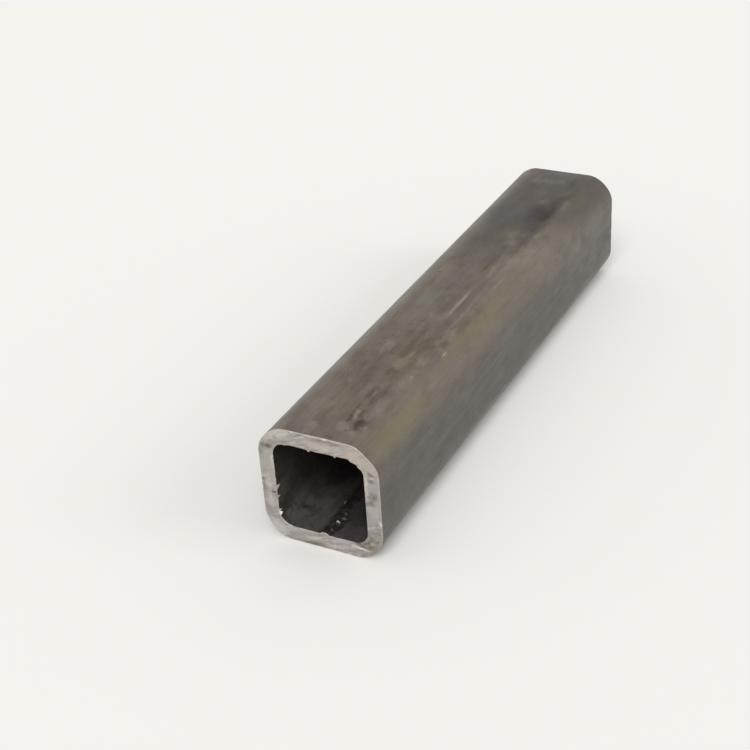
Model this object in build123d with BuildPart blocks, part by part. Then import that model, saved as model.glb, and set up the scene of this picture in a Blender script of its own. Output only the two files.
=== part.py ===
from build123d import *
import os

# Square steel tube: one cut length of cold-formed, welded square hollow section. Millimetres.
# The tube lies on the wall that carries its weld: X across, Y along the tube, +Z up.
# Origin: the middle of the footprint, on the floor. The front end is at -Y.

side = 40.0  # outside width and height of the section
wall = 5.0  # thickness of the strip, the same on the flats and round the corners
bend_radius = 5.0  # inside radius of the rolled corners
length = 200.0  # from sawn end to sawn end

flash_width = 3.0  # weld flash left standing inside the tube, across its foot
flash_height = 1.0  # from the inside face of the wall to the crown of the flash
flash_toe_radius = 0.4  # where the flash runs out into the wall on either side

# A rolled corner keeps the strip's thickness, so its outside and inside arcs share a centre.
corner_radius = bend_radius + wall
bore = side - 2 * wall

# The section is drawn about the tube's own axis, halfway along the tube.
section_plane = Plane(origin=(0, 0, side / 2), x_dir=(1, 0, 0), z_dir=(0, -1, 0))

# Places on the section: the weld runs along the middle of the bottom wall.
welded_wall_inside = -bore / 2
welded_wall_middle = welded_wall_inside - wall / 2
flash_edge = flash_width / 2

with BuildPart() as tube:
    with BuildSketch(section_plane) as section:
        RectangleRounded(side, side, corner_radius)
        RectangleRounded(bore, bore, bend_radius, mode=Mode.SUBTRACT)

        # The flash is an arc over the weld, rooted in the middle of the wall that it joins.
        with BuildLine():
            crown = ThreePointArc(
                (-flash_edge, welded_wall_inside),
                (0, welded_wall_inside + flash_height),
                (flash_edge, welded_wall_inside),
            )
            Polyline(
                crown @ 1,
                (flash_edge, welded_wall_middle),
                (-flash_edge, welded_wall_middle),
                crown @ 0,
            )
        make_face()

        # Molten flash wets the wall, so it runs out into it at a small radius on both sides.
        toes = section.vertices().sort_by_distance((0, welded_wall_inside))[:2]
        fillet(toes, radius=flash_toe_radius)
    extrude(amount=length / 2, both=True)

tube.part.label = "square_tube"

os.makedirs("parts", exist_ok=True)
export_step(tube.part, "parts/square_tube.step")
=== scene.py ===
import math

import bpy
import numpy as np
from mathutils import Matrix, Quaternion, Vector


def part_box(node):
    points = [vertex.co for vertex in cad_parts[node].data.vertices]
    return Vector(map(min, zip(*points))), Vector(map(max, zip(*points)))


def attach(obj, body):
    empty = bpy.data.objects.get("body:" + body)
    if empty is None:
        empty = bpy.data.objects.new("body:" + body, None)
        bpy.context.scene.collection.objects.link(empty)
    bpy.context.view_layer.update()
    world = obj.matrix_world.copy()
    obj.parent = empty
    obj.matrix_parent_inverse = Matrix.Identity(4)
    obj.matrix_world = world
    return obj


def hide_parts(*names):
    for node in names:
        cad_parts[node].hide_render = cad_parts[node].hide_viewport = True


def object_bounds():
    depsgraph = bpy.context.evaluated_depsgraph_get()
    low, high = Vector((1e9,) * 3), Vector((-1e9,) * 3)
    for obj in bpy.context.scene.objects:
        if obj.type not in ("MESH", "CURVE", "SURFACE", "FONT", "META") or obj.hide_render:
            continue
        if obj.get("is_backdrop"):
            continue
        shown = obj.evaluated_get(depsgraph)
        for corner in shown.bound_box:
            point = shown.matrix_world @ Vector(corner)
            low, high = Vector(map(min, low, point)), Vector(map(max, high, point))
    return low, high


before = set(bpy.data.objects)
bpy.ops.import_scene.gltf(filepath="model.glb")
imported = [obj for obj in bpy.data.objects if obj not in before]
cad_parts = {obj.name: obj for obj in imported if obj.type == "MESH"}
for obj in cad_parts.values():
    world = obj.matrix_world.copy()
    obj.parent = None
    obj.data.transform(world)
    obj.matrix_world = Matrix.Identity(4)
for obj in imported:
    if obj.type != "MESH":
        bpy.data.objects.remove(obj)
cad_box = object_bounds()

# One sawn length of welded, cold-formed square steel tube, in the part's own frame: X across, Y
# along the tube, +Z up, lying on the wall that carries the weld. The tube and its patterns are
# worked out in millimetres, and its mesh is written in metres.
METRES_PER_MM = 0.001

# Sizes that the frame gives.
low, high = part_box("square_tube")
SIDE = (high.x - low.x) / METRES_PER_MM
LENGTH = (high.y - low.y) / METRES_PER_MM
HALF_LENGTH = LENGTH / 2

# Sizes of the section that its outer box doesn't give.
WALL = 5.0
BEND_RADIUS = 5.0  # inside radius of the rolled corners
CORNER_RADIUS = BEND_RADIUS + WALL
FLASH_WIDTH = 3.0  # weld flash inside the tube, across its foot
FLASH_HEIGHT = 1.0
EDGE_BREAK = 0.18  # the saw leaves the rims this blunt

# The outside is a square of arc centres with a radius added to it.
CORE = SIDE / 2 - CORNER_RADIUS
FLAT = 2 * CORE
CORNER_ARC = CORNER_RADIUS * math.pi / 2
GIRTH = 4 * (FLAT + CORNER_ARC)

# Distances round the outside start at the weld, in the middle of the bottom wall, towards +X. These
# are the middles of the two walls that carry marks of their own.
TOP_WALL = GIRTH / 2
LEFT_WALL = 3 * GIRTH / 4

# Parts of the tube's skin.
OUTSIDE, INSIDE, BACK_END, FRONT_END = range(4)


# ---------------------------------------------------------------- surfaces worked out with numpy


def crowded(start, end, count, spacing):
    """Count + 1 places from start to end, each about spacing(place) from the next, in proportion:
    equal steps on the running sum of 1 / spacing, read back as places."""
    samples = 4001
    fine = np.linspace(start, end, samples)
    steps = 1 / spacing((fine[1:] + fine[:-1]) / 2)
    share = np.concatenate(([0], np.cumsum(steps)))
    return np.interp(np.linspace(0, share[-1], count + 1), share, fine)


LATTICE = 256  # cells after which the random lumps repeat


def lumps(a, b, grain_a, grain_b, seed, wrap=LATTICE):
    """Smooth random heights from -1 to 1: random values on a lattice of grain_a by grain_b cells,
    blended inside each cell with smoothstep weights. Along a, it repeats after wrap cells."""
    lattice = np.random.default_rng(seed).uniform(-1, 1, (wrap, LATTICE))
    cell_a, cell_b = np.floor(a / grain_a), np.floor(b / grain_b)
    share_a, share_b = a / grain_a - cell_a, b / grain_b - cell_b
    share_a = share_a * share_a * (3 - 2 * share_a)
    share_b = share_b * share_b * (3 - 2 * share_b)
    row, next_row = cell_a.astype(int) % wrap, (cell_a.astype(int) + 1) % wrap
    column, next_column = cell_b.astype(int) % LATTICE, (cell_b.astype(int) + 1) % LATTICE
    near = lattice[row, column] * (1 - share_b) + lattice[row, next_column] * share_b
    far = lattice[next_row, column] * (1 - share_b) + lattice[next_row, next_column] * share_b
    return near * (1 - share_a) + far * share_a


def round_lumps(around, along, grain_around, grain_along, seed):
    """lumps() on the skin of the tube, with a whole number of cells round its girth."""
    cells = round(GIRTH / grain_around)
    return lumps(around, along, GIRTH / cells, grain_along, seed, wrap=cells)


def section_at(around):
    """The skeleton point and the outward direction, each as x and z from the tube's axis.

    Each quarter of the girth is one flat, along which the skeleton point moves by the distance, and
    one corner, round which the outward direction turns by distance over corner radius."""
    quarter, rest = np.divmod(around + CORE, FLAT + CORNER_ARC)
    along_flat = np.minimum(rest, FLAT) - CORE
    wall_turn = quarter * math.pi / 2
    turn = wall_turn + np.maximum(rest - FLAT, 0) / CORNER_RADIUS
    core_x = along_flat * np.cos(wall_turn) + CORE * np.sin(wall_turn)
    core_z = along_flat * np.sin(wall_turn) - CORE * np.cos(wall_turn)
    return core_x, core_z, np.sin(turn), -np.cos(turn)


# Steps along the tube between rows of points: their size by an end, and how much they grow for
# each millimetre away from it. Inside, the rows stay close over the beads by the front end.
SKIN_STEP, SKIN_GROWTH = 0.45, 0.035
BORE_STEP, BORE_GROWTH, BORE_GROWTH_FROM_BACK = 0.3, 0.05, 0.1
BEADED_LENGTH = 22


def wall_loop(outside_count, inside_count, front_count, back_count, rim_count):
    """The lengthwise outline of the wall as a closed loop: how deep in the wall each point lies (0
    on the outside, 1 on the inside), its place along the tube, and the part of the surface that
    starts there. It runs back along the outside, in over the back end, forward along the inside
    and out over the front end. Each rim is a quarter circle of the edge break's radius, and the
    rows of an end crowd towards its rims by the mean of even steps and those of a half circle."""
    end = HALF_LENGTH - EDGE_BREAK
    rim = EDGE_BREAK / WALL
    turn = np.linspace(0, math.pi / 2, rim_count + 2)[1:-1]
    leaving, arriving = 1 - np.cos(turn), np.sin(turn)

    def end_rows(count):
        even = np.linspace(0, 1, count)
        crowded_at_rims = (even + (1 - np.cos(math.pi * even)) / 2) / 2
        return rim + (1 - 2 * rim) * crowded_at_rims

    def outside_spacing(y):
        return SKIN_STEP + SKIN_GROWTH * (HALF_LENGTH - np.abs(y))

    def inside_spacing(y):
        past_beads = np.maximum(HALF_LENGTH + y - BEADED_LENGTH, 0)
        from_back = HALF_LENGTH - y
        return BORE_STEP + np.minimum(BORE_GROWTH * past_beads, BORE_GROWTH_FROM_BACK * from_back)

    skin_out = crowded(-end, end, outside_count, outside_spacing)
    skin_in = crowded(-end, end, inside_count, inside_spacing)[::-1]
    depth = [
        np.zeros_like(skin_out),
        rim * leaving,
        end_rows(back_count),
        1 - rim * (1 - arriving),
        np.ones_like(skin_in),
        1 - rim * leaving,
        1 - end_rows(front_count),
        rim * (1 - arriving),
    ]
    along = [
        skin_out,
        end + EDGE_BREAK * arriving,
        np.full(back_count, HALF_LENGTH),
        end + EDGE_BREAK * (1 - leaving),
        skin_in,
        -end - EDGE_BREAK * arriving,
        np.full(front_count, -HALF_LENGTH),
        -end - EDGE_BREAK * (1 - leaving),
    ]
    strips = [
        (OUTSIDE, outside_count),
        (BACK_END, 1 + rim_count + back_count + rim_count),
        (INSIDE, inside_count),
        (FRONT_END, 1 + rim_count + front_count + rim_count),
    ]
    part = np.concatenate([np.full(count, name) for name, count in strips])
    return np.concatenate(depth), np.concatenate(along), part


# Burrs that the saw left hanging on the inner rim of the front end: the wall, the distance from
# the middle of that wall, how far the burr reaches into the tube, how far it runs out before and
# behind its tip, and how far it leans back along the wall for each millimetre that it reaches in.
BURRS = [
    (TOP_WALL, 0.0, 0.5, 22, 18, 0),
    (TOP_WALL, 11.5, 0.6, 5, 5, 0),
    (TOP_WALL, -13.0, 0.95, 12, 3.5, 0),
    (TOP_WALL, -18.5, 0.8, 5, 3, 0),
    (TOP_WALL, 2.7, 1.0, 1.1, 0.9, 0),
    (TOP_WALL, -5.9, 1.0, 1.3, 0.7, 0),
    (LEFT_WALL, 2.0, 1.4, 0.8, 1.0, 1.5),
    (LEFT_WALL, 5.0, 1.3, 0.5, 0.9, 0.7),
    (LEFT_WALL, 9.9, 1.7, 0.4, 0.6, 0.5),
    (LEFT_WALL, 11.4, 1.9, 1.0, 3.2, 0.2),
]
BURR_RUN_OUT = 0.5  # how far behind the end the burrs die out
LEAN_START = 0.1  # the share of the wall, from the outside, over which nothing leans
FEATHER_REACH = 0.3  # how far the feather of fine teeth between the burrs reaches in
FEATHER_COVER = 0.35  # lumps of the feather's patches count from this far below their middle
BURR_WOBBLE = 0.15  # the share by which the reach wobbles from place to place


def burrs(around):
    """How far the inner rim of the front end reaches into the tube and leans along its wall: the
    named burrs, which rise and fall in straight lines to their tips, over a feather of fine teeth,
    each the square of a random lump's height, in random patches."""
    along = np.zeros_like(around)  # the lumps change round the rim only
    teeth = np.clip(round_lumps(around, along, grain_around=0.8, grain_along=1, seed=11), 0, None)
    patches = round_lumps(around, along, grain_around=6, grain_along=1, seed=12) + FEATHER_COVER
    reach = FEATHER_REACH * teeth**2 * np.clip(patches, 0, 1)
    lean = np.zeros_like(around)
    for wall, offset, size, before, behind, slant in BURRS:
        away = around - (wall + offset)
        rise = size * np.clip(np.where(away < 0, 1 + away / before, 1 - away / behind), 0, 1)
        lean = np.where(rise > reach, slant * rise, lean)
        reach = np.maximum(reach, rise)
    wobble = round_lumps(around, along, grain_around=0.9, grain_along=1, seed=13)
    return reach * (1 + BURR_WOBBLE * wobble), lean


# Beads of spatter on and beside the weld flash: across and from the front end, radius and height.
SPATTER = [
    (1.4, 2.8, 0.7, 0.4),
    (1.3, 6.8, 0.85, 0.8),
    (1.9, 9.4, 0.9, 0.5),
    (1.5, 11.6, 0.7, 0.4),
    (-1.5, 16.6, 0.8, 0.7),
]

FLASH_SWAY = 0.25  # how far the flash strays to either side
FLASH_HEAVE = 0.25  # the share of its height by which its crown rises and falls about the mean


def flash_height(around, along):
    """How far the weld flash stands up: a parabola across its width, whose height and side play
    along the tube follow random lumps, with beads of spatter on it. A bead is the square of
    1 - (distance / radius) squared."""
    across = np.where(around > TOP_WALL, around - GIRTH, around)
    sway = FLASH_SWAY * lumps(along, 0 * along, grain_a=6, grain_b=1, seed=21)
    crown = np.clip(1 - ((across - sway) / (FLASH_WIDTH / 2)) ** 2, 0, None)
    heave = FLASH_HEAVE * lumps(across, along, grain_a=1.2, grain_b=2.2, seed=22)
    height = FLASH_HEIGHT * crown * (1 - FLASH_HEAVE + heave)
    for bead_x, bead_y, radius, bead_height in SPATTER:
        away = np.hypot(across - bead_x, along + HALF_LENGTH - bead_y) / radius
        height = height + bead_height * np.clip(1 - away**2, 0, None) ** 2
    return height


# The corners, as eighths of the girth from the weld, and how much flatter than a true arc the rolls
# left each at its middle.
FLATTENED = [(1, 0.35), (3, 0.7), (5, 0.25), (7, 0.1)]
FLATTENED_ARC = 0.8  # the share of the corner's arc over which it is flatter
FLATTENED_AT_BACK = 0.3  # how much of that flatness is left at the back end
ROLL_WAVE = 0.07  # depth of the long waves that the rolls leave
PIT_DEPTH = 0.1  # depth to which a lump of full height would press a pit
PIT_START = 0.35  # lumps over this height are pits


def skin_wear(around, along):
    """How far the outside lies under its true section: corners a little flatter than an arc, by the
    square of 1 - (distance from the corner's middle / half the flattened arc) squared, less so
    towards the back, the long waves that the rolls leave, and shallow pits of rolled-in scale."""
    rolls = 0.5 + 0.5 * round_lumps(around, along, grain_around=9, grain_along=40, seed=31)
    pits = round_lumps(around, along, grain_around=2.4, grain_along=5, seed=32) - PIT_START
    wear = ROLL_WAVE * rolls + PIT_DEPTH * np.clip(pits, 0, None)
    kept = FLATTENED_AT_BACK + (1 - FLATTENED_AT_BACK) * (0.5 - along / LENGTH)
    for eighth, depth in FLATTENED:
        away = (around - eighth * GIRTH / 8) / (FLATTENED_ARC * CORNER_ARC / 2)
        wear = wear + depth * kept * np.clip(1 - away**2, 0, None) ** 2
    return wear


BORE_ROUGHNESS = 0.08  # height of the rough scale inside


def inside_growth(around, along):
    """How far the inside reaches past its true section: random lumps of scale, plus the flash."""
    scale = 0.5 + 0.5 * round_lumps(around, along, grain_around=1.6, grain_along=3, seed=41)
    return BORE_ROUGHNESS * scale + flash_height(around, along)


# Ledges where the saw blade wandered: height of the ledge over the floor where x is 0, its slope
# along x, the stretch of x that it covers, and its depth. A stretch runs out at both its ends.
LEDGES = [
    (38.4, -0.02, -7, 9, 0.10),
    (23.0, 0.14, -20, -15, 0.10),
    (15.2, 0.32, 15, 20, 0.10),
    (4.65, -0.09, 5, 17, 0.14),
    (3.6, -0.05, -13, 4, 0.07),
]
LEDGE_RISE = 0.25  # the height over which a ledge steps down
LEDGE_FADE = 3.0  # how far over the ledge its step dies out
LEDGE_RUN_OUT = 2.0  # the length over which a ledge's stretch runs out
END_FADE = 3.0  # how far along the tube a dent in the sawn end still pulls on the skin
SAW_TILT = math.radians(22)  # how steeply the blade's lines rise towards +X

# Depths of the saw's slow wander, of the ridges of its teeth, which lie farther apart than real
# ones so that they show, and of the torn places between them.
SAW_WANDER, SAW_RIDGES, SAW_TEARS = 0.10, 0.04, 0.04


def end_recess(x, z, seed):
    """How far a sawn end lies behind its true plane: random lumps for the slow wander of the blade,
    for the parallel ridges left by its teeth and for the tears, and ledges, which are short ramps
    across a line."""
    over_line = z - math.tan(SAW_TILT) * x
    wander = 0.5 + 0.5 * lumps(x, z, grain_a=12, grain_b=9, seed=seed)
    ridges = 0.5 + 0.5 * lumps(over_line, x, grain_a=0.9, grain_b=14, seed=seed + 1)
    tears = 0.5 + 0.5 * lumps(x, z, grain_a=0.8, grain_b=0.8, seed=seed + 2)
    recess = SAW_WANDER * wander + SAW_RIDGES * ridges + SAW_TEARS * tears
    for height, slope, start, end, depth in LEDGES:
        over = z - height - slope * x
        step = np.clip(over / LEDGE_RISE + 0.5, 0, 1) * np.clip(1 - over / LEDGE_FADE, 0, 1)
        past_start = np.clip((x - start) / LEDGE_RUN_OUT, 0, 1)
        before_end = np.clip((end - x) / LEDGE_RUN_OUT, 0, 1)
        recess = recess + depth * step * past_start * before_end
    return recess


# Places round the section that are worked finely, as middle and half width: the weld, from both
# ends of the girth, the teeth under the top wall, and the slivers on the left wall.
FINE_PLACES = [(0, 3), (TOP_WALL - 1.5, 6.5), (LEFT_WALL + 5.5, 7.5), (GIRTH, 3)]
FINE_STEP, COARSE_STEP = 0.22, 0.62
STEP_GROWTH = 0.2  # how much the step grows for each millimetre away from a fine place
COLUMNS = 326  # steps round the section, before the burrs' tips are added


def tube_surface():
    """The whole skin of the tube as one grid, closed both ways: round the section, and round the
    lengthwise outline of the wall. A point is the section's skeleton point plus a radius along the
    outward direction, where the radius goes from the outside's to the inside's with the depth. A
    burr's lean moves it along the wall, by the fourth power of the depth."""

    def spacing_round(place):
        away = [np.abs(place - middle) - half_width for middle, half_width in FINE_PLACES]
        return np.clip(FINE_STEP + STEP_GROWTH * np.minimum.reduce(away), FINE_STEP, COARSE_STEP)

    tips = [wall + offset for wall, offset, *_ in BURRS]
    around = np.union1d(crowded(0, GIRTH, COLUMNS, spacing_round)[:-1], tips)
    depth, along, part = wall_loop(
        outside_count=130, inside_count=120, front_count=21, back_count=13, rim_count=2)
    core_x, core_z, out_x, out_z = section_at(around)
    s, y = np.meshgrid(around, along)  # distance round and place along, of every point

    at_front = np.clip((BURR_RUN_OUT - HALF_LENGTH - y) / BURR_RUN_OUT, 0, 1)
    outer = CORNER_RADIUS - skin_wear(s, y)
    reach, lean = burrs(s)
    inner = BEND_RADIUS - np.maximum(inside_growth(s, y), reach * at_front)
    radius = outer + (inner - outer) * depth[:, None]
    leaning = np.clip((depth[:, None] - LEAN_START) / (1 - LEAN_START), 0, 1) ** 4
    lean = lean * at_front * leaning
    x = core_x + radius * out_x + lean * out_z
    z = core_z + radius * out_z - lean * out_x + SIDE / 2

    end_share = np.clip(1 - (HALF_LENGTH - np.abs(y)) / END_FADE, 0, 1)
    recess = np.where(y < 0, end_recess(x, z, seed=51), end_recess(-x, z, seed=61))
    y = y - np.sign(y) * recess * end_share
    return around, along, part, np.stack((x, y, z), axis=-1)


# The bake map's sheet is square, and takes the outside, the inside and the gaps side by side.
SHEET = 262.0
SHEET_GAP = 2.0
END_SCALE = 1.2  # how much bigger the two ends are drawn on it


def bake_places(around, along, part, points):
    """A flat layout of the skin, for each corner of each face: the outside and the inside are
    unrolled (across is the distance round, up is the place along the tube), and the two ends lie
    above them as they are, seen from the front."""
    rows, columns = len(along), len(around)
    i = np.arange(rows)[:, None, None]
    j = np.arange(columns)[None, :, None]
    corner_i = (i + np.array([0, 1, 1, 0])) % rows
    corner_j = j + np.array([0, 0, 1, 1])
    round_here = np.append(around, GIRTH)[corner_j]
    along_here = along[corner_i] + HALF_LENGTH
    here = points[corner_i, corner_j % columns]
    end_x = (here[..., 0] + SIDE / 2) * END_SCALE
    end_z = here[..., 2] * END_SCALE + LENGTH + 2 * SHEET_GAP
    inner_girth = GIRTH - 2 * math.pi * WALL
    kind = part[:, None, None]
    across = np.select(
        [kind == OUTSIDE, kind == INSIDE, kind == BACK_END],
        [
            round_here,
            GIRTH + SHEET_GAP + round_here * inner_girth / GIRTH,
            end_x + SIDE * END_SCALE + SHEET_GAP,
        ],
        end_x,
    )
    up = np.where((kind == OUTSIDE) | (kind == INSIDE), along_here, end_z)
    return (np.stack((across, up), axis=-1) + SHEET_GAP) / SHEET


def make_tube(scale, bore_scale, sawn_steel):
    """The tube's mesh from its grid: four-cornered faces that point outward, with one material for
    the outside, one for the inside and one for both ends."""
    around, along, part, points = tube_surface()
    rows, columns = points.shape[:2]
    i, j = np.meshgrid(np.arange(rows), np.arange(columns), indexing="ij")
    next_i, next_j = (i + 1) % rows, (j + 1) % columns
    faces = np.stack(
        (i * columns + j, next_i * columns + j, next_i * columns + next_j, i * columns + next_j),
        axis=-1,
    ).reshape(-1, 4)

    mesh = bpy.data.meshes.new("rolled_tube")
    mesh.from_pydata(points.reshape(-1, 3) * METRES_PER_MM, [], faces)
    for material in (scale, bore_scale, sawn_steel):
        mesh.materials.append(material)
    material_of_part = np.array([0, 1, 2, 2])
    mesh.polygons.foreach_set("material_index", np.repeat(material_of_part[part], columns))
    mesh.polygons.foreach_set("use_smooth", np.ones(len(faces), bool))
    layout = mesh.uv_layers.new(name="OFBake")
    layout.data.foreach_set("uv", bake_places(around, along, part, points).ravel())
    mesh.update()
    tube = bpy.data.objects.new("rolled_tube", mesh)
    bpy.context.scene.collection.objects.link(tube)
    return tube


# ------------------------------------------------------------------------------------ materials


def shade(code):
    """An sRGB hex colour as linear red, green, blue and alpha."""
    parts = np.array([int(code[k : k + 2], 16) for k in (0, 2, 4)]) / 255
    linear = np.where(parts <= 0.04045, parts / 12.92, ((parts + 0.055) / 1.055) ** 2.4)
    return (*linear, 1.0)


def add(tree, kind, inputs=None, **settings):
    """Adds one node: settings give its properties, and inputs its sockets, as links or values."""
    node = tree.nodes.new(kind)
    for name, value in settings.items():
        setattr(node, name, value)
    for socket, value in (inputs or {}).items():
        if isinstance(value, bpy.types.NodeSocket):
            tree.links.new(value, node.inputs[socket])
        else:
            node.inputs[socket].default_value = value
    return node


def new_material(name):
    """An empty node material, its tree, and object coordinates in millimetres."""
    material = bpy.data.materials.new(name)
    material.use_nodes = True
    tree = material.node_tree
    tree.nodes.clear()
    metres = add(tree, "ShaderNodeTexCoord").outputs["Object"]
    place = add(tree, "ShaderNodeVectorMath", {0: metres, "Scale": 1 / METRES_PER_MM},
                operation="SCALE").outputs["Vector"]
    return material, tree, place


def finish_material(tree, colour, metallic, roughness, height, bump_depth):
    """The shader and its output. Roughness is given as a pattern and the two values that it spans,
    and the bump's heights from 0 to 1 span bump_depth in mm."""
    wear, smoothest, roughest = roughness
    rough = add(tree, "ShaderNodeMapRange", {
        "Value": wear, "To Min": smoothest, "To Max": roughest})
    bump = add(tree, "ShaderNodeBump", {
        "Height": height, "Distance": bump_depth * METRES_PER_MM, "Strength": 1.0})
    shader = add(tree, "ShaderNodeBsdfPrincipled", {
        "Base Color": colour, "Metallic": metallic, "Roughness": rough.outputs["Result"],
        "Normal": bump.outputs["Normal"]})
    add(tree, "ShaderNodeOutputMaterial", {"Surface": shader.outputs["BSDF"]})


# A Mix node's sockets go by number, because several share a name: 0 is the share, 2 and 3 are its
# two numbers, 6 and 7 its two colours. Of its outputs, 0 is the number and 2 the colour.


def coated(tree, ground, coats):
    """A ground colour under coats laid on in turn, each of which covers a share of what lies under
    it with its own colour. The share is a socket or a number from 0 to 1."""
    colour = shade(ground)
    for share, code in coats:
        colour = add(tree, "ShaderNodeMix", {0: share, 6: colour, 7: shade(code)},
                     data_type="RGBA").outputs[2]
    return colour


def pattern(tree, place, grain, spread=(0.3, 0.7), detail=2.0, to=(0.0, 1.0)):
    """Random patches with a grain in mm along each axis: noise stretched to that size, whose values
    within the spread are eased over the two values of to, and stay at them outside it."""
    stretched = add(tree, "ShaderNodeVectorMath", {0: place, 1: grain}, operation="DIVIDE")
    noise = add(tree, "ShaderNodeTexNoise", {
        "Vector": stretched.outputs["Vector"], "Scale": 1.0, "Detail": detail, "Roughness": 0.55})
    return add(tree, "ShaderNodeMapRange", {
        "Value": noise.outputs["Fac"], "From Min": spread[0], "From Max": spread[1],
        "To Min": to[0], "To Max": to[1]}, interpolation_type="SMOOTHSTEP").outputs["Result"]


def ragged(tree, place, push, grain):
    """Places pushed about at random, so that marks get ragged edges: by up to about half of push in
    mm along each axis, by noise with a grain in mm along each axis."""
    stretched = add(tree, "ShaderNodeVectorMath", {0: place, 1: grain}, operation="DIVIDE")
    noise = add(tree, "ShaderNodeTexNoise", {
        "Vector": stretched.outputs["Vector"], "Scale": 1.0, "Detail": 3.0})
    centred = add(tree, "ShaderNodeVectorMath", {0: noise.outputs["Color"], 1: (0.5, 0.5, 0.5)},
                  operation="SUBTRACT")
    return add(tree, "ShaderNodeVectorMath", {0: centred.outputs["Vector"], 1: push, 2: place},
               operation="MULTIPLY_ADD").outputs["Vector"]


def marks(tree, place, spots, fade=0.5, patches=1.0):
    """How strongly a place is marked: each mark is an ellipsoid with a centre, half sizes, a turn
    in degrees about each axis and a strength. It fades over a share of its half size, up to its
    edge. Where marks overlap the stronger one counts, and patches thin them all out."""
    strongest = 0.0
    for centre, half_size, turn, strength in spots:
        inside_mark = add(tree, "ShaderNodeMapping", {
            "Vector": place, "Location": centre, "Rotation": [math.radians(t) for t in turn],
            "Scale": half_size}, vector_type="TEXTURE")
        ball = add(tree, "ShaderNodeTexGradient", {"Vector": inside_mark.outputs["Vector"]},
                   gradient_type="SPHERICAL")
        mark = add(tree, "ShaderNodeMapRange", {
            "Value": ball.outputs["Fac"], "From Max": fade, "To Max": strength},
            interpolation_type="SMOOTHSTEP")
        strongest = add(tree, "ShaderNodeMath", {0: mark.outputs["Result"], 1: strongest},
                        operation="MAXIMUM").outputs["Value"]
    return add(tree, "ShaderNodeMath", {0: strongest, 1: patches},
               operation="MULTIPLY").outputs["Value"]


# How far marks reach off the surfaces that they lie on: the sawn ends, and the bottom and the left
# wall inside. A mark on the top is as thick as it is wide.
END_MARK_REACH, FLOOR_MARK_REACH, LEFT_MARK_REACH = 1.0, 2.0, 3.0


def on_top(spots):
    """Marks on the top of the tube: across from its middle and along it, half width and half
    length, turn seen from above and strength. Past the flat, across follows the corner's round."""
    for across, along, half_width, half_length, turn, strength in spots:
        core_x, core_z, out_x, out_z = section_at(TOP_WALL - across)
        centre = (core_x + CORNER_RADIUS * out_x, along, core_z + CORNER_RADIUS * out_z + SIDE / 2)
        yield centre, (half_width, half_length, half_width), (0, 0, turn), strength


def on_front(spots):
    """Marks on the front end: x, height over the floor, half sizes, turn seen from the front and
    strength."""
    for x, z, half_x, half_z, turn, strength in spots:
        yield (x, -HALF_LENGTH, z), (half_x, END_MARK_REACH, half_z), (0, -turn, 0), strength


def on_back(spots):
    """Marks on the back end, given as on the front end but seen from the back."""
    for x, z, half_x, half_z, turn, strength in spots:
        yield (-x, HALF_LENGTH, z), (half_x, END_MARK_REACH, half_z), (0, turn, 0), strength


def on_both_ends(spots):
    """The same marks on either end, each seen from outside the tube."""
    yield from on_front(spots)
    yield from on_back(spots)


def on_bore_floor(spots):
    """Marks inside the tube on its bottom wall: x and distance from the front end, half sizes, turn
    seen from above and strength."""
    for x, depth, half_width, half_length, turn, strength in spots:
        centre = (x, depth - HALF_LENGTH, WALL + FLASH_HEIGHT / 2)
        yield centre, (half_width, half_length, FLOOR_MARK_REACH), (0, 0, turn), strength


def on_bore_left(spots):
    """Marks inside the tube on its left wall: distance from the front end, height over the floor,
    half length, half height and strength."""
    for depth, z, half_length, half_height, strength in spots:
        centre = (WALL - SIDE / 2, depth - HALF_LENGTH, z)
        yield centre, (LEFT_MARK_REACH, half_length, half_height), (0, 0, 0), strength


# Oil and rolled-in dirt, dark on the scale, broken up into patches.
STAINS = [
    (8.9, -89.5, 2.2, 3.8, 0, 1.0),
    (4.7, -87.4, 1.1, 2.2, 0, 0.8),
    (7.1, -84.2, 0.8, 3.8, 8, 0.6),
    (4.5, -82.6, 0.6, 4.2, 3, 0.45),
    (4.2, -73.5, 1.1, 4.5, 0, 0.55),
    (6.8, -75.0, 1.1, 6.5, 0, 0.45),
    (5.0, -69.8, 2.4, 1.6, 0, 0.45),
    (8.0, -71.0, 1.4, 6.0, 0, 0.25),
    (4.6, -59.5, 2.8, 2.4, 0, 0.4),
    (6.2, -64.0, 1.8, 4.5, 0, 0.3),
    (3.2, -46.5, 2.2, 6.5, 0, 0.42),
    (3.0, -37.0, 1.2, 8.0, 0, 0.45),
    (7.4, -41.0, 2.8, 8.0, 0, 0.38),
    (8.6, -34.0, 2.2, 6.0, 0, 0.35),
    (7.6, -18.0, 2.4, 26.0, 0, 0.24),
    (12.5, -38.0, 1.1, 3.4, 0, 0.4),
    (13.0, -24.0, 1.5, 8.0, 0, 0.35),
    (13.2, -14.5, 0.9, 4.0, 0, 0.35),
    (3.6, -97.8, 2.0, 1.8, 0, 0.45),
    (-4.0, -61.0, 5.0, 13.0, 0, 0.2),
    (-0.8, -71.5, 2.6, 7.0, 0, 0.3),
    (1.5, -8.0, 5.0, 16.0, 0, 0.28),
    (14.6, 15.0, 2.8, 10.0, 0, 0.2),
    (-0.4, -47.0, 1.8, 6.0, 0, 0.25),
]

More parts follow.
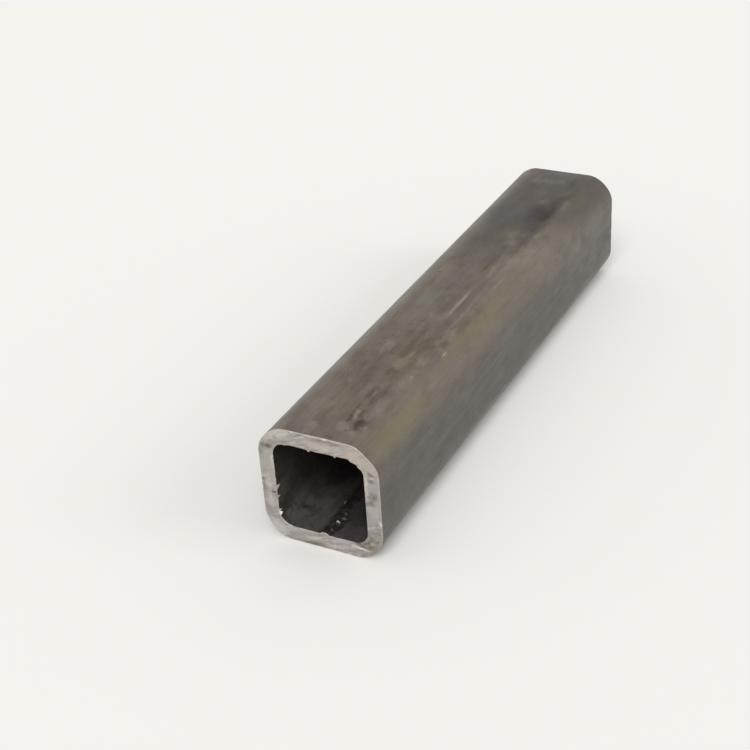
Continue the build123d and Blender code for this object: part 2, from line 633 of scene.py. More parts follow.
# Burnt lubricant that was wiped along the tube, evenly dark, and painted shade over the far part
# of the top.
SMEARS_AND_SHADE = [
    (3.8, 15.0, 1.0, 12.0, 0, 0.4),
    (4.0, 20.5, 2.6, 8.0, 0, 0.38),
    (3.8, 30.0, 1.8, 4.5, 0, 0.38),
    (8.8, 40.0, 2.4, 18.0, 0, 0.45),
    (7.8, 52.0, 6.6, 17.0, 0, 0.66),
    (10.4, 53.0, 3.4, 9.0, 0, 0.55),
    (6.2, 59.0, 8.5, 18.0, 0, 0.75),
    (8.0, 59.5, 5.7, 14.0, 0, 0.92),
    (8.6, 48.0, 1.8, 9.0, 0, 0.8),
    (8.6, 65.0, 2.0, 9.0, 0, 0.95),
    (8.4, 70.0, 5.2, 15.0, 0, 0.7),
    (9.6, 76.0, 3.0, 12.0, 0, 0.45),
    (8.6, 89.0, 4.6, 13.0, 0, 0.42),
]

# Duller and less brown scale where the strip cooled more slowly, and painted shade over the far
# half of the top and along its left.
DULL_AND_SHADED_PATCHES = [
    (-1.5, 66.0, 16.0, 64.0, 0, 0.95),
    (15.5, 86.0, 10.0, 42.0, 0, 0.7),
    (-6.0, 34.0, 8.0, 26.0, 0, 0.6),
]

# Dull lighter patches where the scale is thin, and painted sheen: a line along the edge of the right
# corner's round, a band on the round and a patch near the back.
PALE_AND_SHEEN_PATCHES = [
    (-4.0, -94.5, 3.4, 3.6, 0, 0.45),
    (4.6, -92.0, 2.2, 2.8, 0, 0.45),
    (-3.5, 88.5, 8.0, 4.0, 0, 0.22),
    (3.0, 41.5, 3.4, 5.0, 0, 0.25),
    (6.6, 42.5, 1.8, 3.6, 0, 0.25),
    (4.5, 36.0, 2.4, 3.0, 0, 0.25),
    (10.2, -22.0, 0.9, 15.0, 0, 0.3),
    (10.4, 16.0, 1.6, 14.0, 0, 0.4),
    (7.2, 13.0, 1.6, 9.0, 0, 0.35),
    (3.0, 71.0, 3.0, 4.0, 0, 0.25),
    (2.0, 91.0, 3.0, 4.0, 0, 0.25),
    (3.6, -90.5, 1.8, 1.6, 0, 0.4),
    (12.0, 49.5, 2.0, 5.0, 0, 0.3),
    (5.9, -84.9, 0.9, 3.6, 13, 0.65),
    (8.6, -94.5, 2.8, 2.0, 0, 0.3),
    (5.6, -66.0, 1.0, 2.6, 0, 0.35),
    (5.2, -54.0, 3.2, 4.4, 0, 0.4),
    (11.0, -62.0, 2.4, 12.0, 0, 0.35),
    (13.0, 22.0, 4.5, 26.0, 0, 0.32),
    (17.5, 32.0, 3.4, 22.0, 0, 0.2),
    (10.4, -78.0, 2.6, 9.0, 0, 0.35),
    (-7.0, -88.0, 4.0, 12.0, 0, 0.2),
    (-3.6, -97.5, 2.2, 2.8, 0, 0.35),
    (-3.6, -46.5, 2.4, 7.0, 0, 0.35),
    (11.0, -51.5, 2.0, 6.0, 0, 0.45),
    (11.2, 43.5, 1.7, 7.0, 0, 0.45),
    (11.2, 71.5, 1.9, 7.0, 0, 0.4),
]

# A film of old oil, gone yellow or olive.
OIL_FILMS = [
    (18.8, -80.0, 3.2, 30.0, 0, 0.6),
    (16.0, -20.0, 5.0, 34.0, 0, 0.35),
    (-5.0, -13.0, 4.5, 9.0, 0, 0.35),
    (-1.0, -82.0, 4.0, 9.0, 0, 0.2),
    (-1.0, 26.0, 3.5, 9.0, 0, 0.2),
    (12.5, -24.0, 2.6, 12.0, 0, 0.2),
]

# A thin film of rust, brown.
RUST_FILMS = [
    (5.0, -47.0, 8.0, 26.0, 0, 0.5),
    (3.5, -82.0, 5.0, 14.0, 0, 0.3),
    (3.5, 14.0, 5.0, 12.0, 0, 0.45),
    (1.0, 40.0, 6.0, 16.0, 0, 0.3),
    (13.0, 77.0, 5.0, 10.0, 0, 0.3),
    (-1.0, 72.0, 6.0, 11.0, 0, 0.2),
    (16.0, -88.0, 6.0, 14.0, 0, 0.3),
]

# Bare of rust, grey.
GREY_PATCHES = [
    (-6.0, -12.0, 5.0, 14.0, 0, 0.4),
    (3.0, 98.0, 12.0, 6.0, 0, 0.5),
]

# Scratches down to bright steel. A long one is a row of marks.
SCRATCHES = [
    (5.9, -13.0, 1.1, 13.0, 0.5, 0.2),
    (5.9, -17.5, 0.6, 4.5, 0, 0.3),
    (6.0, -13.0, 0.6, 4.5, 0, 0.4),
    (6.0, -8.5, 0.6, 4.5, 0, 0.4),
    (15.1, -49.0, 0.5, 3.6, 3.4, 0.35),
    (14.8, -45.5, 0.5, 3.6, 3.4, 0.45),
    (14.6, -42.6, 0.55, 2.8, 3.4, 0.7),
    (18.4, -51.2, 0.6, 4.6, -3, 0.3),
    (12.4, 6.0, 0.5, 7.0, 0, 0.15),
    (-5.0, -68.5, 0.4, 1.2, -10, 0.25),
    (5.75, -48.2, 0.4, 3.0, -9, 0.3),
    (6.3, -66.8, 0.45, 2.6, -24, 0.14),
    (11.1, -91.3, 2.4, 0.35, -19, 0.16),
    (6.7, -92.4, 0.6, 0.7, 0, 0.3),
    (11.4, -90.3, 0.6, 1.0, 0, 0.25),
    (11.5, -60.0, 0.5, 1.0, 0, 0.25),
]

# Distances from the tube's axis between which a painted sheen comes in on the rounded corners,
# making them lighter than the walls, and how much of it shows.
CORNER_START, CORNER_END = 22.0, 23.9
CORNER_SHEEN_SHARE = 0.3

# Heights over the floor between which the scale turns from the top's into the flanks', which the
# rolls rubbed greyer, with lighter bands and lines along them, and how far it does.
FLANK_START, FLANK_FULL = SIDE - 3.0, SIDE / 2
FLANK_SHARE = 0.7

HOLLOW_SHADE = 0.14  # how much painted shade darkens the hollows between streaks and tears


def mill_scale():
    """Hot-rolled mill scale on cold-formed steel: a thin, dark, half-metallic oxide with a satin
    sheen. Rolling drew its mottling out along the tube. The rounded corners get a painted sheen,
    and the hollows between its streaks painted shade."""
    material, tree, place = new_material("mill_scale")
    # Blotches are some millimetres wide, and streaks as wide as scores in worn rolls. The grain of
    # real scale is finer than this, and is drawn this coarse so that it shows.
    blotches = pattern(tree, place, (6, 14, 6), detail=4.0)
    streaks = pattern(tree, place, (1.1, 45, 1.1), detail=1.0)
    grain = pattern(tree, place, (0.45, 0.7, 0.45), spread=(0.2, 0.8), detail=1.0)
    # painted shade in the hollows between the streaks, where the bump is lowest
    shade_between_streaks = add(tree, "ShaderNodeMath", {
        0: streaks, 1: -HOLLOW_SHADE, 2: HOLLOW_SHADE}, operation="MULTIPLY_ADD").outputs["Value"]

    # painted sheen: the rounded corners, found by their distance from the axis, are drawn lighter
    on_section = add(tree, "ShaderNodeVectorMath", {
        0: place, 1: (1, 0, 1), 2: (0, 0, -SIDE / 2)}, operation="MULTIPLY_ADD")
    from_axis = add(tree, "ShaderNodeVectorMath", {0: on_section.outputs["Vector"]},
                    operation="LENGTH")
    corners = add(tree, "ShaderNodeMapRange", {
        "Value": from_axis.outputs["Value"], "From Min": CORNER_START, "From Max": CORNER_END,
        "To Max": CORNER_SHEEN_SHARE}, interpolation_type="SMOOTHSTEP").outputs["Result"]

    over_floor = add(tree, "ShaderNodeVectorMath", {0: place, 1: (0, 0, 1)},
                     operation="DOT_PRODUCT")
    flanks = add(tree, "ShaderNodeMapRange", {
        "Value": over_floor.outputs["Value"], "From Min": FLANK_START, "From Max": FLANK_FULL,
        "To Max": FLANK_SHARE}, interpolation_type="SMOOTHSTEP").outputs["Result"]
    rubbed = pattern(tree, place, (16, 40, 12), spread=(0.3, 0.65), detail=3.0, to=(0.65, 1.0))
    bands = pattern(tree, place, (3.2, 120, 3.2), spread=(0.47, 0.68), to=(0, 0.4))
    lines = pattern(tree, place, (0.9, 70, 0.9), spread=(0.62, 0.72), detail=1.0, to=(0, 0.32))
    rubbed_flanks, flank_bands, flank_lines = [
        add(tree, "ShaderNodeMath", {0: flanks, 1: share}, operation="MULTIPLY").outputs["Value"]
        for share in (rubbed, bands, lines)
    ]

    # Specks of rolled-in scale, in crowds. Real ones are smaller; these are big enough to show.
    dots = pattern(tree, place, (0.9, 1.3, 0.9), spread=(0.56, 0.68), to=(0, 0.36))
    crowds = pattern(tree, place, (9, 17, 9), spread=(0.4, 0.62), to=(0.2, 1.0))
    specks = add(tree, "ShaderNodeMath", {0: dots, 1: crowds},
                 operation="MULTIPLY").outputs["Value"]

    soft_edges = ragged(tree, place, push=(2.2, 6.0, 2.2), grain=(2.5, 7.0, 2.5))
    torn_edges = ragged(tree, place, push=(3.0, 6.0, 3.0), grain=(1.8, 3.6, 1.8))
    nicked = ragged(tree, place, push=(0.35, 2.0, 0.35), grain=(1.5, 3.0, 1.5))
    patchy = pattern(tree, place, (2.0, 3.6, 2.0), spread=(0.35, 0.62), detail=3.0, to=(0.6, 1.0))
    dark_mottle = pattern(tree, place, (5, 10, 5), spread=(0.42, 0.75), detail=4.0, to=(0, 0.75))
    pale_mottle = pattern(tree, place, (6, 13, 6), spread=(0.5, 0.75), detail=4.0, to=(0, 0.6))

    tone = coated(tree, "6c645d", [
        (pattern(tree, place, (18, 60, 18)), "766c61"),
        (pattern(tree, place, (30, 34, 30), spread=(0.5, 0.75)), "6d655e"),
        (dark_mottle, "58504a"),
        (pale_mottle, "857d70"),
        # painted shade between the streaks
        (shade_between_streaks, "1e1b19"),
        (rubbed_flanks, "585757"),
        (flank_bands, "766f66"),
        (flank_lines, "8b857c"),
        (specks, "3b3633"),
        # painted sheen on the rounded corners
        (corners, "878073"),
        # dull scale and painted shade on the top
        (marks(tree, soft_edges, on_top(DULL_AND_SHADED_PATCHES), fade=0.7), "514b48"),
        (marks(tree, soft_edges, on_top(OIL_FILMS), fade=0.7, patches=patchy), "797656"),
        (marks(tree, soft_edges, on_top(RUST_FILMS), fade=0.8, patches=patchy), "6e6048"),
        (marks(tree, soft_edges, on_top(GREY_PATCHES), fade=0.8), "6b6e68"),
        # thin scale and painted sheen
        (marks(tree, torn_edges, on_top(PALE_AND_SHEEN_PATCHES), fade=0.7, patches=patchy), "968d80"),
        # burnt lubricant and painted shade
        (marks(tree, soft_edges, on_top(SMEARS_AND_SHADE), fade=0.9), "30231f"),
        (marks(tree, torn_edges, on_top(STAINS), patches=patchy), "44392f"),
        (marks(tree, nicked, on_top(SCRATCHES)), "b0a692"),
    ])
    height = add(tree, "ShaderNodeMix", {0: 0.5, 2: grain, 3: streaks}).outputs[0]
    finish_material(tree, tone, metallic=0.7, roughness=(blotches, 0.40, 0.55), height=height,
                    bump_depth=0.02)
    return material


# How far from the weld the steel is burnt darkest, and how far it is burnt at all.
BURNT_FULL, BURNT_EDGE = 0.68, 3.4

# Bare beads of spatter beside the weld.
BRIGHT_BEADS = [
    (1.4, 6.7, 0.6, 0.45, 20, 1.0),
    (2.0, 9.3, 1.0, 0.7, 30, 0.16),
    (1.4, 2.8, 0.8, 0.6, 0, 0.1),
    (-1.5, 16.6, 0.45, 0.8, 0, 0.35),
    (1.5, 11.6, 0.6, 0.6, 0, 0.1),
]

# Soot and burnt oil on the bottom wall inside.
BURNT_PATCHES = [
    (6.0, 14.0, 6.0, 12.0, 0, 0.5),
    (-11.0, 30.0, 9.0, 9.0, 0, 0.7),
    (-3.6, 16.5, 2.0, 7.0, 0, 0.4),
    (2.4, 4.0, 2.2, 3.4, 0, 0.8),
    (3.0, 8.0, 1.7, 3.6, 0, 0.75),
    (-0.8, 14.5, 1.6, 3.6, 0, 0.6),
    (1.5, 18.8, 1.1, 2.0, 0, 0.7),
]

# Spots of tar.
TAR_SPOTS = [
    (-11.9, 10.0, 1.3, 0.5, 35, 0.6),
    (-10.9, 11.0, 1.1, 0.6, 15, 0.5),
]

# Lighter patches on the bottom wall inside, near the front end.
LIGHTER_FLOOR_PATCHES = [
    (-11.6, 5.8, 3.2, 7.0, -39, 0.55),
    (-7.0, 4.0, 8.0, 6.0, 0, 0.3),
    (-6.0, 14.0, 7.0, 7.0, 0, 0.25),
    (-11.0, 13.6, 4.4, 2.6, 0, 0.35),
]

# Painted light on the bottom wall inside, by the open ends, so that it falls into shade deeper in.
LIGHT_BY_OPEN_ENDS = [
    (0.0, 0.0, 24.0, 36.0, 0, 0.55),
    (0.0, LENGTH, 24.0, 36.0, 0, 0.55),
]

# Where the steel was annealed purple, right of the weld.
PURPLE_PATCHES = [
    (7.5, 5.0, 6.5, 14.0, 0, 0.6),
]

# Rust on and right of the weld, past the reach of the soot.
RUST_PATCHES = [
    (1.5, 30.0, 4.0, 12.0, 0, 0.8),
]

# Painted light low on the left wall inside, near the front end, and painted shade high on it.
LIGHT_LOW_ON_LEFT = [
    (6.0, 5.5, 9.0, 3.4, 0.7),
    (12.0, 5.0, 12.0, 2.4, 0.6),
    (11.0, 9.0, 10.0, 6.0, 0.35),
    (3.0, 15.0, 6.0, 7.0, 0.35),
]
SHADE_HIGH_ON_LEFT = [
    (4.0, 29.0, 14.0, 10.0, 0.6),
]


def bore_scale():
    """The inside of a welded tube: thick dark scale, never worn, burnt darker beside the weld, with
    a few bare beads of spatter, painted lighter near the open ends where light falls in, and with
    painted light and shade on the left wall near the front end."""
    material, tree, place = new_material("bore_scale")
    # The grain of real scale is finer than this, and is drawn this coarse so that it shows.
    grain = pattern(tree, place, (0.9, 1.6, 0.9), spread=(0.25, 0.75))
    worn_edges = ragged(tree, place, push=(4.5, 5.0, 4.5), grain=(2.2, 3.0, 2.2))
    pitted = ragged(tree, place, push=(0.9, 0.9, 0.9), grain=(0.7, 0.7, 0.7))

    weld_side = add(tree, "ShaderNodeVectorMath", {
        0: worn_edges, 1: (1, 0, 1), 2: (0, 0, -WALL)}, operation="MULTIPLY_ADD")
    from_weld = add(tree, "ShaderNodeVectorMath", {0: weld_side.outputs["Vector"]},
                    operation="LENGTH")
    near_weld = add(tree, "ShaderNodeMapRange", {
        "Value": from_weld.outputs["Value"], "From Min": BURNT_EDGE, "From Max": BURNT_FULL},
        interpolation_type="SMOOTHSTEP").outputs["Result"]
    soot = pattern(tree, place, (1.6, 2.6, 1.6), spread=(0.35, 0.6), detail=3.0, to=(0.5, 0.9))
    burnt = add(tree, "ShaderNodeMath", {0: near_weld, 1: soot},
                operation="MULTIPLY").outputs["Value"]
    dark_mottle = pattern(tree, place, (4, 5, 4), spread=(0.5, 0.8), detail=3.0, to=(0, 0.6))

    tone = coated(tree, "3f3937", [
        (pattern(tree, place, (7, 9, 7), spread=(0.35, 0.65)), "4b4742"),
        (dark_mottle, "352d2a"),
        # painted light by the open ends
        (marks(tree, worn_edges, on_bore_floor(LIGHT_BY_OPEN_ENDS), fade=0.9), "68625e"),
        # painted light low on the left wall
        (marks(tree, worn_edges, on_bore_left(LIGHT_LOW_ON_LEFT), fade=0.9), "867e75"),
        # painted shade high on the left wall
        (marks(tree, worn_edges, on_bore_left(SHADE_HIGH_ON_LEFT), fade=0.9), "24251b"),
        # lighter patches on the bottom wall
        (marks(tree, worn_edges, on_bore_floor(LIGHTER_FLOOR_PATCHES)), "74716a"),
        (marks(tree, worn_edges, on_bore_floor(PURPLE_PATCHES), fade=0.8), "54464f"),
        (burnt, "191416"),
        (marks(tree, worn_edges, on_bore_floor(RUST_PATCHES), fade=0.8), "4d3f3b"),
        (marks(tree, worn_edges, on_bore_floor(BURNT_PATCHES)), "241c20"),
        (marks(tree, pitted, on_bore_floor(TAR_SPOTS)), "1c181a"),
        (marks(tree, pitted, on_bore_floor(BRIGHT_BEADS)), "e2ded6"),
    ])
    finish_material(tree, tone, metallic=0.4, roughness=(grain, 0.5, 0.7), height=grain,
                    bump_depth=0.05)
    return material


# Where the saw's lines show, drawn as painted shade in their grooves and a painted highlight on
# their crests: along the top and bottom walls, in a low corner, and faintly all over. Down the two
# side walls the blade left upright brushing instead.
LINED_CUTS = [
    (0.0, 2.5, 21.0, 6.0, 0, 1.0),
    (0.0, 37.5, 19.0, 5.0, 0, 0.9),
    (16.5, 7.0, 5.0, 8.0, 0, 0.8),
    (0.0, 20.0, 40.0, 60.0, 0, 0.3),
]
BRUSHED_CUTS = [
    (-17.5, 23.0, 3.2, 13.0, 0, 1.0),
    (17.5, 23.0, 3.2, 13.0, 0, 1.0),
]

# Dirt on the front end, and where the blade wandered or dragged.
SMUDGES = [
    (17.4, 31.2, 1.6, 1.0, -25, 0.75),
    (17.3, 28.8, 1.6, 1.0, 0, 0.55),
    (17.6, 23.4, 2.6, 2.4, 40, 0.6),
    (16.5, 21.2, 2.6, 1.2, 40, 0.6),
    (-19.2, 17.8, 1.3, 2.4, 0, 0.6),
    (-16.2, 16.4, 1.1, 0.9, 0, 1.0),
    (-19.4, 20.6, 1.6, 1.0, 0, 0.6),
    (-18.6, 10.8, 1.6, 3.0, 15, 0.3),
    (15.9, 8.7, 1.4, 1.2, 0, 0.6),
    (15.3, 6.4, 2.8, 1.1, 35, 0.6),
    (12.6, 4.7, 4.0, 1.1, -4, 0.85),
    (14.0, 5.4, 2.0, 0.9, 0, 0.6),
    (15.8, 4.9, 2.6, 1.5, 25, 0.5),
    (16.8, 20.6, 2.0, 0.8, 25, 0.5),
    (17.4, 7.0, 2.2, 1.1, 20, 0.35),
    (4.5, 38.9, 6.5, 0.9, -3, 0.42),
    (-4.0, 3.9, 7.0, 0.6, 4, 0.35),
    (-1.3, 4.3, 1.8, 0.8, 10, 0.6),
    (4.6, 2.9, 5.0, 0.6, 12, 0.35),
    (-3.2, 0.7, 7.5, 1.3, 2, 0.85),
    (-15.2, 3.9, 3.4, 0.45, -42, 0.3),
    (-19.3, 30.4, 0.8, 1.6, 0, 0.4),
    (-10.5, 2.4, 5.0, 0.5, 8, 0.3),
    (8.0, 1.6, 5.0, 0.5, 10, 0.3),
]

# Dirt on the back end.
BACK_SMUDGES = [
    (5.0, 3.4, 7.0, 0.8, 6, 0.45),
    (-8.0, 1.6, 6.0, 1.0, -3, 0.5),
    (-17.2, 29.0, 1.8, 3.6, 12, 0.4),
    (17.6, 13.0, 1.6, 4.4, -8, 0.4),
    (16.2, 24.5, 1.0, 0.8, 0, 0.5),
    (-4.0, 38.6, 7.0, 0.8, -4, 0.4),
    (13.5, 35.5, 2.6, 1.2, -35, 0.4),
    (-14.5, 6.0, 2.4, 1.2, -40, 0.35),
]
BACK_OIL = [
    (-14.0, 34.0, 7.0, 5.0, 30, 0.5),
    (14.0, 4.0, 9.0, 4.0, 20, 0.4),
]

# Old oil with soot in it, olive black.
SOOTY_SMUDGES = [
    (-16.4, 33.0, 2.2, 1.3, 0, 0.72),
    (-17.9, 32.9, 2.2, 1.4, 0, 0.5),
    (-13.7, 36.6, 1.3, 0.9, 0, 0.75),
    (-17.2, 35.5, 0.5, 0.5, 0, 0.6),
    (-15.5, 35.2, 0.5, 0.5, 0, 0.6),
    (-8.8, 39.5, 1.0, 0.5, -30, 0.5),
]

# Oil that has soaked into the cut and dried olive brown.
OILED_CUTS = [
    (-13.5, 35.0, 5.0, 2.0, 30, 0.4),
    (15.8, 5.5, 6.0, 8.0, 25, 0.7),
    (-2.0, 2.0, 9.0, 2.0, 0, 0.35),
    (3.0, 38.5, 8.0, 2.0, 0, 0.3),
]

# A breath of rust on the cut, thin old oil that shows greenish, the first rosy bloom of rust, and
# steel that stayed clean and cool.
WARM_CUTS = [
    (12.0, 36.5, 11.0, 5.0, -25, 0.7),
    (1.0, 37.0, 8.0, 3.0, 0, 0.4),
]
GREENISH_CUTS = [
    (-15.0, 36.8, 6.0, 3.4, 35, 0.7),
    (-9.5, 37.8, 5.0, 2.6, 0, 0.7),
    (-18.0, 27.0, 3.2, 6.5, 0, 0.6),
]
ROSY_CUTS = [
    (17.5, 25.0, 3.6, 8.0, 0, 0.5),
    (17.5, 17.5, 3.2, 4.0, 0, 0.7),
]
COOL_CUTS = [
    (-18.0, 12.0, 4.0, 9.0, 0, 0.35),
    (-15.5, 4.5, 5.0, 4.0, -45, 0.35),
    (-19.0, 27.0, 2.0, 6.0, 0, 0.4),
    (8.8, 37.5, 3.0, 2.2, 0, 0.4),
    (-10.0, 2.6, 7.0, 3.0, 0, 0.5),
    (6.0, 2.8, 8.0, 3.0, 0, 0.6),
]

# Steel that the blade left brightest, with painted highlights where the rims and a ledge catch the
# light, then painted glints on a melted burr and on a ledge's step.
BRIGHT_CUTS_AND_GLINTS = [
    (1.0, 39.8, 12.0, 0.6, 0, 0.3),
    (2.8, 39.8, 1.6, 0.8, 0, 0.9),
    (2.0, 37.0, 11.0, 1.8, 0, 0.3),
    (-13.0, 37.5, 6.0, 2.6, 20, 0.4),
    (19.5, 14.2, 0.9, 1.8, 0, 0.8),
    (17.6, 17.5, 2.4, 3.6, 0, 0.2),
    (17.4, 30.0, 1.4, 0.6, 0, 0.5),
    (15.5, 26.5, 0.5, 6.5, 0, 0.5),
    (-15.5, 26.0, 0.4, 6.0, 0, 0.3),
    (12.4, 3.4, 4.8, 0.5, -5, 0.6),
    (-3.5, 2.6, 6.0, 1.0, 4, 0.5),
    (5.0, 4.4, 6.0, 0.9, -6, 0.45),
    (4.5, 1.6, 7.0, 1.0, 4, 0.5),
    (9.5, 3.0, 5.0, 0.7, 12, 0.4),
    (-9.5, 4.4, 5.0, 0.8, 4, 0.4),
    (0.0, 2.8, 17.0, 3.4, 0, 0.25),
    (16.4, 6.4, 1.6, 1.0, 0, 0.3),
    (-16.5, 35.9, 2.0, 0.9, 20, 0.45),
    (-15.5, 4.0, 6.0, 3.0, -35, 0.55),
    (-17.6, 13.5, 2.2, 4.5, 0, 0.35),
    (-17.6, 19.0, 2.0, 1.5, 0, 0.4),
    (14.0, 35.0, 8.0, 4.0, -35, 0.2),
    (-16.6, 5.4, 3.2, 0.5, -50, 0.6),
    (-14.6, 2.6, 3.0, 0.45, -35, 0.5),
    (-11.5, 3.4, 4.0, 0.5, 8, 0.4),
    (-15.4, 28.0, 0.4, 5.0, 0, 0.5),
]
PAINTED_GLINTS = [
    (-14.4, 9.2, 0.8, 1.3, 0, 1.0),
    (12.6, 3.45, 3.8, 0.3, -5, 0.5),
]

# How far in from the rims the painted highlight that they catch, with the saw's burnish, is
# brightest, how far in it reaches at all, and how much of its colour shows.
GLEAM_FULL, GLEAM_EDGE = 0.27, 0.9
GLEAM_SHARE = 0.25

INTO_CUT = 40  # grain along the tube, so long that patterns on a sawn end don't change there


def sawn_steel():
    """Mild steel sawn across and left bare: light grey and metallic, torn and streaked by the
    blade, with painted highlights at its ledges and rims and painted shade between its tears, and
    dulled in patches by oil and handling."""
    material, tree, place = new_material("sawn_steel")
    # The teeth of a saw leave lines about 0.3 mm apart. They are drawn two to three times as far
    # apart, so that they show.
    along_cut = add(tree, "ShaderNodeMapping", {
        "Vector": place, "Rotation": (0, SAW_TILT, 0)}).outputs["Vector"]
    lines = pattern(tree, along_cut, (7, 7, 0.6))
    tears = pattern(tree, place, (1.1, 1.1, 1.1), detail=3.0)
    cut = add(tree, "ShaderNodeMix", {0: 0.6, 2: lines, 3: tears}).outputs[0]
    # painted shade in the hollows between the tears, where the bump is lowest
    shade_between_tears = add(tree, "ShaderNodeMath", {
        0: tears, 1: -HOLLOW_SHADE, 2: HOLLOW_SHADE}, operation="MULTIPLY_ADD").outputs["Value"]

    # The radius round the section's skeleton, from the bend radius on the inner rim outward. Twice
    # the length is taken off along the tube so that nothing is left there, and what is under zero
    # is raised to it.
    from_middle = add(tree, "ShaderNodeVectorMath", {0: place, 1: (0, 0, SIDE / 2)},
                      operation="SUBTRACT")
    folded = add(tree, "ShaderNodeVectorMath", {0: from_middle.outputs["Vector"]},
                 operation="ABSOLUTE")
    past_core = add(tree, "ShaderNodeVectorMath", {
        0: folded.outputs["Vector"], 1: (CORE, 2 * LENGTH, CORE)}, operation="SUBTRACT")
    kept = add(tree, "ShaderNodeVectorMath", {0: past_core.outputs["Vector"], 1: (0, 0, 0)},
               operation="MAXIMUM")
    radius = add(tree, "ShaderNodeVectorMath", {0: kept.outputs["Vector"]}, operation="LENGTH")
    from_centreline = add(tree, "ShaderNodeMath", {
        0: radius.outputs["Value"], 1: BEND_RADIUS + WALL / 2}, operation="SUBTRACT")
    off_centre = add(tree, "ShaderNodeMath", {0: from_centreline.outputs["Value"]},
                     operation="ABSOLUTE")
    # painted highlight on the rims, broken up in patches
    near_rims = add(tree, "ShaderNodeMapRange", {
        "Value": off_centre.outputs["Value"], "From Min": WALL / 2 - GLEAM_EDGE,
        "From Max": WALL / 2 - GLEAM_FULL, "To Max": GLEAM_SHARE},
        interpolation_type="SMOOTHSTEP").outputs["Result"]
    broken = pattern(tree, place, (3, 3, 3), spread=(0.42, 0.68))
    rim_highlight = add(tree, "ShaderNodeMath", {0: near_rims, 1: broken},
                        operation="MULTIPLY").outputs["Value"]

    lined = marks(tree, place, on_both_ends(LINED_CUTS), fade=0.4)
    # the saw's lines: painted shade in their grooves and painted highlight on their crests
    grooves = pattern(tree, along_cut, (4.0, INTO_CUT, 0.75), spread=(0.48, 0.66), to=(0, 0.8))
    crests = pattern(tree, along_cut, (5.0, INTO_CUT, 0.9), spread=(0.5, 0.68), to=(0, 0.8))
    groove_shade, crest_highlight = [
        add(tree, "ShaderNodeMath", {0: lined, 1: share}, operation="MULTIPLY").outputs["Value"]
        for share in (grooves, crests)
    ]
    brushing = pattern(tree, place, (0.9, INTO_CUT, 9.0), spread=(0.45, 0.7), to=(0, 0.45))
    mottle = pattern(tree, place, (4.0, INTO_CUT, 3.0), spread=(0.48, 0.72), detail=3.0,
                     to=(0, 0.45))
    edges = ragged(tree, place, push=(2.0, 2.0, 1.4), grain=(1.6, 1.6, 1.2))
    nicked = ragged(tree, place, push=(1.3, 1.3, 1.3), grain=(1.0, 1.0, 1.0))
    oiled = [*on_front(OILED_CUTS), *on_back(BACK_OIL)]
    smudged = [*on_front(SMUDGES), *on_back(BACK_SMUDGES)]

    tone = coated(tree, "bab5b0", [
        (pattern(tree, place, (6, INTO_CUT, 5)), "aca5a4"),
        (mottle, "8f8987"),
        # painted shade in the saw's grooves, then painted highlight on its crests
        (groove_shade, "8c8684"),
        (crest_highlight, "d8d2ce"),
        (marks(tree, place, on_both_ends(BRUSHED_CUTS), patches=brushing), "d0cac5"),
        # painted shade between the tears
        (shade_between_tears, "3c3936"),
        (marks(tree, edges, on_front(WARM_CUTS), fade=0.9), "bcb0a4"),
        (marks(tree, edges, on_front(COOL_CUTS), fade=0.9), "a6a1ab"),
        (marks(tree, edges, on_front(GREENISH_CUTS), fade=0.9), "b2b3a7"),
        (marks(tree, edges, on_front(ROSY_CUTS), fade=0.9), "aca1a3"),
        (marks(tree, edges, oiled, fade=0.8), "928d82"),
        # painted highlight on the rims
        (rim_highlight, "dad4cf"),
        (marks(tree, edges, smudged, fade=0.9), "5f564f"),
        (marks(tree, nicked, on_front(SOOTY_SMUDGES), fade=0.8), "4f4d43"),
        # bright steel and painted highlights
        (marks(tree, edges, on_front(BRIGHT_CUTS_AND_GLINTS), fade=0.8), "e2dcd6"),
        # painted glints
        (marks(tree, place, on_front(PAINTED_GLINTS), fade=0.8), "fffaf4"),
    ])
    finish_material(tree, tone, metallic=1.0, roughness=(tears, 0.38, 0.52), height=cut,
                    bump_depth=0.04)
    return material


tube = make_tube(mill_scale(), bore_scale(), sawn_steel())
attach(tube, "root")
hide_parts("square_tube")


# ----------------------------------------------------- floor, light and camera, all in metres

FLOOR_SIZE = 4.0
FLOOR_COLOUR = "eeedea"  # dull white


def make_floor():
    """A level square under the tube, wide enough to fill the view."""
    half = FLOOR_SIZE / 2
    corners = np.array([(-1, -1, 0), (1, -1, 0), (1, 1, 0), (-1, 1, 0)]) * half
    mesh = bpy.data.meshes.new("floor")
    mesh.from_pydata(corners, [], [(0, 1, 2, 3)])
    material = bpy.data.materials.new("pale_floor")
    material.use_nodes = True
    tree = material.node_tree
    tree.nodes.clear()
    shader = add(tree, "ShaderNodeBsdfPrincipled", {
        "Base Color": shade(FLOOR_COLOUR), "Roughness": 0.9, "Specular IOR Level": 0.0})
    add(tree, "ShaderNodeOutputMaterial", {"Surface": shader.outputs["BSDF"]})
    mesh.materials.append(material)
    floor = bpy.data.objects.new("floor", mesh)
    bpy.context.scene.collection.objects.link(floor)
    floor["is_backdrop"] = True


def make_soft_light(name, source, strength, width):
    """Light that falls from the source's direction, the same all over the floor, and as soft as
    light from a lamp that looks width degrees wide."""
    lamp = bpy.data.lights.new(name, "SUN")
    lamp.energy = strength
    lamp.angle = math.radians(width)
    holder = bpy.data.objects.new(name, lamp)
    holder.rotation_mode = "QUATERNION"
    holder.rotation_quaternion = Vector(source).to_track_quat("Z", "Y")
    bpy.context.scene.collection.objects.link(holder)


AIR_COLOUR = "fffefb"  # white, a touch warm
WORLD_LIGHT = 0.6  # what the surroundings give to dull surfaces
WORLD_SEEN = 0.905  # how bright they look straight on and in mirror images, like the lit floor


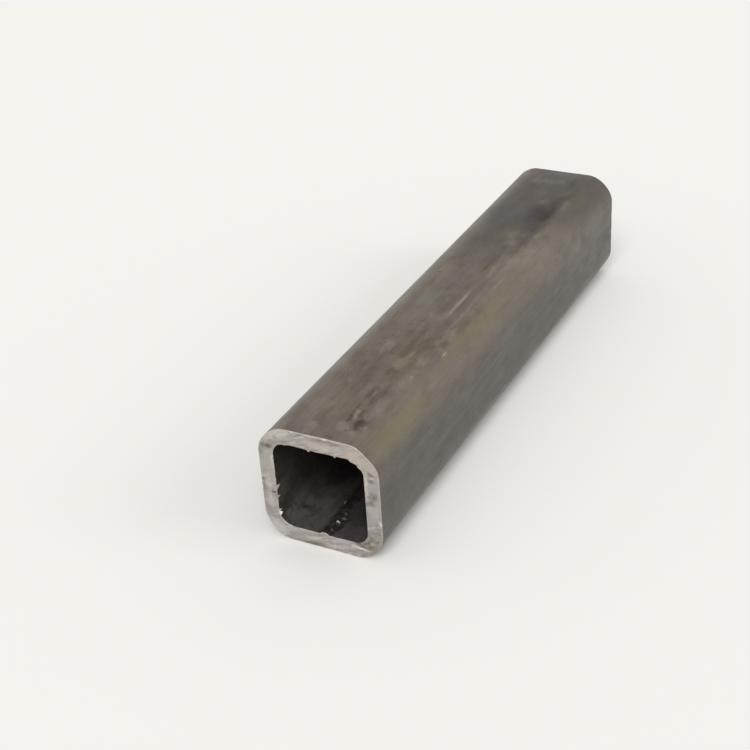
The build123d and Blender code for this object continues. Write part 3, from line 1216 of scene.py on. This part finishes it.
def make_world():
    """Even white surroundings, which look as bright as the floor but light the tube mildly."""
    world = bpy.data.worlds.new("studio")
    world.use_nodes = True
    tree = world.node_tree
    tree.nodes.clear()
    rays = add(tree, "ShaderNodeLightPath").outputs
    seen = rays["Is Camera Ray"]
    for ray in ("Is Glossy Ray", "Is Transmission Ray"):
        seen = add(tree, "ShaderNodeMath", {0: seen, 1: rays[ray]}, operation="MAXIMUM").outputs[0]
    strength = add(tree, "ShaderNodeMix", {0: seen, 2: WORLD_LIGHT, 3: WORLD_SEEN}).outputs[0]
    background = add(tree, "ShaderNodeBackground", {
        "Color": shade(AIR_COLOUR), "Strength": strength})
    add(tree, "ShaderNodeOutputWorld", {"Surface": background.outputs["Background"]})
    bpy.context.scene.world = world


# The camera looks down along the tube from the front right.
VIEW_AZIMUTH = math.radians(29.05)
VIEW_ELEVATION = math.radians(30.99)
VIEW_ROLL = math.radians(-4.09)
VIEW_DISTANCE = 0.5036
VIEW_AIM = Vector((-0.0234, -0.0197, 0.0102))
FOCAL_LENGTH = 70.32
SENSOR_WIDTH = 36.0


def make_camera():
    """Stands off from the aim along azimuth and elevation, then rolls about the line of sight."""
    back = Vector((
        math.sin(VIEW_AZIMUTH) * math.cos(VIEW_ELEVATION),
        -math.cos(VIEW_AZIMUTH) * math.cos(VIEW_ELEVATION),
        math.sin(VIEW_ELEVATION),
    ))
    data = bpy.data.cameras.new("camera")
    data.lens = FOCAL_LENGTH
    data.sensor_width = SENSOR_WIDTH
    data.clip_start = 0.01
    camera = bpy.data.objects.new("camera", data)
    camera.location = VIEW_AIM + back * VIEW_DISTANCE
    camera.rotation_mode = "QUATERNION"
    roll = Quaternion((0, 0, 1), VIEW_ROLL)
    camera.rotation_quaternion = (-back).to_track_quat("-Z", "Y") @ roll
    bpy.context.scene.collection.objects.link(camera)
    bpy.context.scene.camera = camera


make_floor()
make_world()
make_soft_light("key", source=(0.5, -1.5, 1.8), strength=1.6, width=32)
make_soft_light("right_fill", source=(2.0, 0.4, 1.2), strength=0.5, width=25)
make_camera()
bpy.context.scene.view_settings.view_transform = "Standard"

[[list(corner) for corner in box] for box in (cad_box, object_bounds())]
